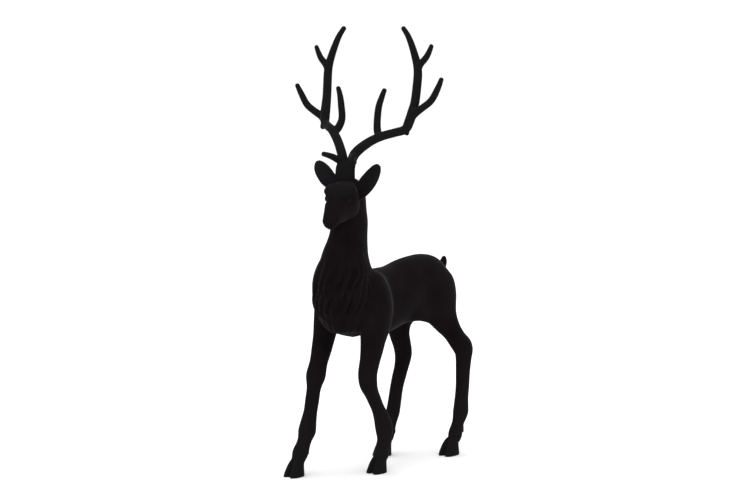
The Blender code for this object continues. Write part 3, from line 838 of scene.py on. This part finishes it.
def add_hooves(clay):
    """Two toes to each foot, and two claws behind it."""
    for x, y, half in HOOVES:
        for hand in (1, -1):
            back = y + HOOF_RAKE + TOE_TOP_BACK
            size = (TOE_TOP_HALF_WIDTH, TOE_TOP_HALF_LENGTH)
            top = (x + hand * TOE_TOP_APART, back, HOOF_RISE, *size)
            size = (TOE_MIDDLE_WIDTH * TOE_HALF_WIDTH, TOE_MIDDLE_LENGTH * half)
            middle = (x + hand * TOE_MIDDLE_APART, y + HOOF_RAKE / 2, HOOF_RISE / 2, *size)
            aside = x + hand * TOE_APART
            sole = (aside, y, GROUND + SOLE_RISE, TOE_HALF_WIDTH, half)
            under = (aside, y - SOLE_AHEAD, GROUND - SOLE_SINK, TOE_HALF_WIDTH, half)
            clay.loft((top, middle, sole, under))
    for x, y, z in DEWCLAWS:
        for hand in (1, -1):
            aside = x + hand * DEWCLAW_APART
            half = DEWCLAW_HALF
            root = (aside, y - DEWCLAW_ROOT_AHEAD, z + half, half, half)
            tip = (aside, y + DEWCLAW_TIP_BACK, z - DEWCLAW_DROP, half / 2, half / 2)
            clay.loft((root, tip))


def workpiece(mesh):
    """A linked object for a mesh, to put a modifier on."""
    obj = bpy.data.objects.new("workpiece", mesh)
    bpy.context.scene.collection.objects.link(obj)
    return obj


def evaluated(obj):
    """The object's mesh with its modifiers applied. The object itself is removed."""
    bpy.context.view_layer.update()
    graph = bpy.context.evaluated_depsgraph_get()
    mesh = bpy.data.meshes.new_from_object(obj.evaluated_get(graph))
    bpy.data.objects.remove(obj)
    return mesh


def points_of(mesh):
    """The mesh's points in the drawing's units."""
    points = np.empty(3 * len(mesh.vertices), np.float32)
    mesh.vertices.foreach_get("co", points)
    return points.reshape(-1, 3).astype(float) / UNIT


def normals_of(mesh):
    normals = np.empty(3 * len(mesh.vertices), np.float32)
    mesh.vertices.foreach_get("normal", normals)
    return normals.reshape(-1, 3).astype(float)


def melt(mesh, grid):
    """One outer skin around everything in the mesh, on a grid of that size."""
    obj = workpiece(mesh)
    remesh = obj.modifiers.new("Melt", "REMESH")
    remesh.mode = "VOXEL"
    remesh.voxel_size = grid
    skin = evaluated(obj)
    keep_outer_skin(skin)
    return skin


def keep_outer_skin(mesh):
    """Deletes all but the largest connected surface, such as the walls of trapped gaps."""
    bm = bmesh.new()
    bm.from_mesh(mesh)
    left = set(bm.verts)
    shells = []
    while left:
        queue = [left.pop()]
        shell = list(queue)
        while queue:
            for edge in queue.pop().link_edges:
                for vert in edge.verts:
                    if vert in left:
                        left.remove(vert)
                        queue.append(vert)
                        shell.append(vert)
        shells.append(shell)
    shells.sort(key=len)
    for shell in shells[:-1]:
        bmesh.ops.delete(bm, geom=shell, context="VERTS")
    bm.to_mesh(mesh)
    bm.free()


def softness(points):
    """How much each point of the body gives when it is smoothed, from 0 to 1."""
    in_trunk = ease(points[:, 2], LIMB_TOP - LIMB_BLEND, LIMB_TOP)
    weight = LIMB_SOFTNESS + (TRUNK_SOFTNESS - LIMB_SOFTNESS) * in_trunk
    for x, y, height, reach in HOLLOWS:
        apart = np.linalg.norm(points - (x, y, height), axis=1)
        weight = np.maximum(weight, (HOLLOW_SOFTNESS * (1 - apart / reach)).clip(0, 1))
    return weight


def soften(mesh, rounds, weights=None):
    """The mesh with its points drawn towards their neighbours."""
    obj = workpiece(mesh)
    smooth = obj.modifiers.new("Soften", "SMOOTH")
    smooth.factor = SMOOTH_FACTOR
    smooth.iterations = rounds
    if weights is not None:
        group = obj.vertex_groups.new(name="Soft")
        levels = np.round(weights * SOFT_LEVELS).astype(int)
        for level in range(1, SOFT_LEVELS + 1):
            chosen = np.flatnonzero(levels == level).tolist()
            group.add(chosen, level / SOFT_LEVELS, "REPLACE")
        smooth.vertex_group = group.name
    return evaluated(obj)


def carve_face(mesh):
    """Presses the nostrils, the line of the mouth and the eye sockets into the face."""
    points = points_of(mesh)
    normals = normals_of(mesh)
    local = np.array(head_frame().inverted())
    x, y, z = (points @ local[:3, :3].T + local[:3, 3]).T
    depth = np.zeros(len(points))
    for hand in (1, -1):
        apart = (x - hand * NOSTRIL[0]) ** 2 + (y - NOSTRIL[1]) ** 2 + (z - NOSTRIL[2]) ** 2
        depth += NOSTRIL_DEPTH * np.exp(-apart / NOSTRIL_REACH**2)
        apart = np.sqrt((x - hand * EYE[0]) ** 2 + (y - EYE[1]) ** 2 + (z - EYE[2]) ** 2)
        depth += SOCKET_DEPTH * np.exp(-(((apart - SOCKET_RADIUS) / SOCKET_REACH) ** 2))
    closed = ease(y, MOUTH_CORNER_Y, MOUTH_CORNER_Y - MOUTH_CORNER_EASE)
    closed *= np.abs(z) < 2 * abs(MOUTH_Z)
    depth += MOUTH_DEPTH * closed * np.exp(-(((z - MOUTH_Z) / MOUTH_REACH) ** 2))
    points -= normals * depth[:, None]
    mesh.vertices.foreach_set("co", (points * UNIT).astype(np.float32).ravel())


def thin(mesh, triangles):
    """The mesh in about that number of triangles."""
    obj = workpiece(mesh)
    decimate = obj.modifiers.new("Thin", "DECIMATE")
    decimate.ratio = triangles / (2 * len(mesh.polygons))
    decimate.use_collapse_triangulate = True
    return evaluated(obj)


def cut_soles(mesh):
    """Cuts the hooves flat at the ground."""
    bm = bmesh.new()
    bm.from_mesh(mesh)
    geometry = bm.verts[:] + bm.edges[:] + bm.faces[:]
    floor = (0, 0, GROUND * UNIT)
    bmesh.ops.bisect_plane(bm, geom=geometry, plane_co=floor, plane_no=(0, 0, -1), clear_outer=True)
    rims = [edge for edge in bm.edges if edge.is_boundary]
    bmesh.ops.holes_fill(bm, edges=rims)
    bmesh.ops.recalc_face_normals(bm, faces=bm.faces)
    bm.to_mesh(mesh)
    bm.free()


def sculpt(grid):
    """The stag's skin, on a grid of that size."""
    clay = Clay()
    clay.add_mesh(melted_body(with_legs=True))
    add_mane(clay)
    add_head(clay)
    add_eyelids(clay)
    add_ears(clay)
    add_antlers(clay)
    clay.loft(TAIL)
    add_hooves(clay)
    skin = soften(melt(clay.mesh("figure"), grid), SKIN_ROUNDS)
    carve_face(skin)
    return skin


def velvet():
    """Short black flock: it drinks the light seen head on and catches it where it turns away."""
    material = bpy.data.materials.new("black_flock")
    material.use_nodes = True
    nodes = material.node_tree.nodes
    links = material.node_tree.links
    shader = nodes["Principled BSDF"]
    shader.inputs["Roughness"].default_value = FLOCK_ROUGHNESS
    shader.inputs["Specular IOR Level"].default_value = FLOCK_SPECULAR
    shader.inputs["Sheen Weight"].default_value = SHEEN_WEIGHT
    shader.inputs["Sheen Roughness"].default_value = SHEEN_ROUGHNESS
    shader.inputs["Sheen Tint"].default_value = SHEEN_TINT
    place = nodes.new("ShaderNodeTexCoord")

    # Brushed patches, where the nap lies a little differently
    patches = nodes.new("ShaderNodeTexNoise")
    patches.inputs["Scale"].default_value = PATCH_SCALE
    patches.inputs["Detail"].default_value = PATCH_DETAIL
    patches.inputs["Roughness"].default_value = PATCH_ROUGHNESS
    tone = nodes.new("ShaderNodeValToRGB")
    tone.color_ramp.elements[0].position = PATCH_SPAN[0]
    tone.color_ramp.elements[0].color = FLOCK_DARK
    tone.color_ramp.elements[1].position = PATCH_SPAN[1]
    tone.color_ramp.elements[1].color = FLOCK_LIGHT
    links.new(place.outputs["Object"], patches.inputs["Vector"])
    links.new(patches.outputs["Fac"], tone.inputs["Fac"])

    # Greyer up the antlers and lighter down the legs, where towards the ground the lighter tone is
    # a painted reflection of the pale floor
    height = nodes.new("ShaderNodeSeparateXYZ")
    links.new(place.outputs["Object"], height.inputs["Vector"])
    ends = []
    for start, end in (THIN_ABOVE, FLOOR_GLOW_AND_GREY_BELOW):
        share = nodes.new("ShaderNodeMapRange")
        share.inputs["From Min"].default_value = start
        share.inputs["From Max"].default_value = end
        links.new(height.outputs["Z"], share.inputs["Value"])
        ends.append(share.outputs["Result"])
    both = nodes.new("ShaderNodeMath")
    both.operation = "ADD"
    links.new(ends[0], both.inputs[0])
    links.new(ends[1], both.inputs[1])
    greyed_and_floor_lit = nodes.new("ShaderNodeMix")
    greyed_and_floor_lit.data_type = "RGBA"
    greyed_and_floor_lit.inputs["B"].default_value = FLOCK_GREY_AND_FLOOR_GLOW
    links.new(both.outputs["Value"], greyed_and_floor_lit.inputs["Factor"])
    links.new(tone.outputs["Color"], greyed_and_floor_lit.inputs["A"])

    # Single fibres: pale specks among the black
    fibres = nodes.new("ShaderNodeTexNoise")
    fibres.inputs["Scale"].default_value = FIBRE_SCALE
    fibres.inputs["Detail"].default_value = FIBRE_DETAIL
    specks = nodes.new("ShaderNodeMapRange")
    specks.inputs["From Min"].default_value = SPECK_SPAN[0]
    specks.inputs["From Max"].default_value = SPECK_SPAN[1]
    specks.inputs["To Max"].default_value = SPECK_SHARE
    colour = nodes.new("ShaderNodeMix")
    colour.data_type = "RGBA"
    colour.inputs["B"].default_value = FLOCK_SPECK
    links.new(place.outputs["Object"], fibres.inputs["Vector"])
    links.new(fibres.outputs["Fac"], specks.inputs["Value"])
    links.new(specks.outputs["Result"], colour.inputs["Factor"])
    links.new(greyed_and_floor_lit.outputs["Result"], colour.inputs["A"])
    links.new(colour.outputs["Result"], shader.inputs["Base Color"])

    # The nap's own relief: fibres on top of soft unevenness
    lumps = nodes.new("ShaderNodeTexNoise")
    lumps.inputs["Scale"].default_value = LUMP_SCALE
    lumps.inputs["Detail"].default_value = LUMP_DETAIL
    lumps.inputs["Roughness"].default_value = LUMP_ROUGHNESS
    nap = nodes.new("ShaderNodeMath")
    nap.operation = "MULTIPLY_ADD"
    nap.inputs[1].default_value = FIBRE_RELIEF
    bump = nodes.new("ShaderNodeBump")
    bump.inputs["Strength"].default_value = NAP_STRENGTH
    bump.inputs["Distance"].default_value = NAP_DEPTH
    links.new(place.outputs["Object"], lumps.inputs["Vector"])
    links.new(fibres.outputs["Fac"], nap.inputs[0])
    links.new(lumps.outputs["Fac"], nap.inputs[2])
    links.new(nap.outputs["Value"], bump.inputs["Height"])
    links.new(bump.outputs["Normal"], shader.inputs["Normal"])
    return material


def floor_material():
    material = bpy.data.materials.new("pale_floor")
    material.use_nodes = True
    shader = material.node_tree.nodes["Principled BSDF"]
    shader.inputs["Base Color"].default_value = FLOOR_COLOUR
    shader.inputs["Roughness"].default_value = FLOOR_ROUGHNESS
    shader.inputs["Specular IOR Level"].default_value = FLOOR_SPECULAR
    return material


def make_stag():
    """The fine figure, moved to where its solid stands and kept inside the solid's box."""
    skin = thin(sculpt(FINE_GRID), FINE_TRIANGLES)
    cut_soles(skin)
    low, high = (np.array(corner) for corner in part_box(STAG))
    points = points_of(skin) * UNIT
    middle = (points.min(axis=0) + points.max(axis=0)) / 2
    move = (low + high) / 2 - middle
    move[2] = low[2] - points[:, 2].min()
    points = np.clip(points + move, low, high)
    skin.vertices.foreach_set("co", points.astype(np.float32).ravel())
    skin.update()
    skin.shade_smooth()
    skin.materials.clear()
    skin.materials.append(velvet())
    stag = bpy.data.objects.new("flocked_stag", skin)
    bpy.context.scene.collection.objects.link(stag)
    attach(stag, "root")
    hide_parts(STAG)
    return Vector(move)


def add_floor():
    mesh = bpy.data.meshes.new("floor")
    reach = FLOOR_REACH
    corners = ((-reach, -reach, 0), (reach, -reach, 0), (reach, reach, 0), (-reach, reach, 0))
    mesh.from_pydata(corners, [], [(0, 1, 2, 3)])
    mesh.materials.append(floor_material())
    floor = bpy.data.objects.new("floor", mesh)
    bpy.context.scene.collection.objects.link(floor)


def add_light(name, place, aim, size, power):
    """A soft box that looks at the aim."""
    data = bpy.data.lights.new(name, "AREA")
    data.size = size
    data.energy = power
    light = bpy.data.objects.new(name, data)
    light.location = place
    light.rotation_euler = (aim - place).to_track_quat("-Z", "Y").to_euler()
    bpy.context.scene.collection.objects.link(light)


def add_studio(aim):
    world = bpy.data.worlds.new("studio")
    world.use_nodes = True
    background = world.node_tree.nodes["Background"]
    background.inputs["Color"].default_value = WORLD_COLOUR
    background.inputs["Strength"].default_value = WORLD_STRENGTH
    bpy.context.scene.world = world
    bpy.context.scene.view_settings.view_transform = "Standard"
    for name, place, size, power in LIGHTS:
        add_light(name, Vector(place) + aim, aim, size, power)


def add_camera(move):
    """The photograph's view, from the stag's left front. It returns the point it looks at."""
    azimuth = math.radians(CAMERA_AZIMUTH)
    elevation = math.radians(CAMERA_ELEVATION)
    level = math.cos(elevation)
    back = Vector((math.sin(azimuth) * level, -math.cos(azimuth) * level, math.sin(elevation)))
    aim = Vector(CAMERA_AIM) * UNIT + move
    data = bpy.data.cameras.new("camera")
    data.lens = CAMERA_LENS
    data.sensor_width = SENSOR_WIDTH
    camera = bpy.data.objects.new("camera", data)
    camera.location = aim + back * CAMERA_DISTANCE
    camera.rotation_euler = back.to_track_quat("Z", "Y").to_euler()
    bpy.context.scene.collection.objects.link(camera)
    bpy.context.scene.camera = camera
    return aim


move = make_stag()
add_floor()
add_studio(add_camera(move))
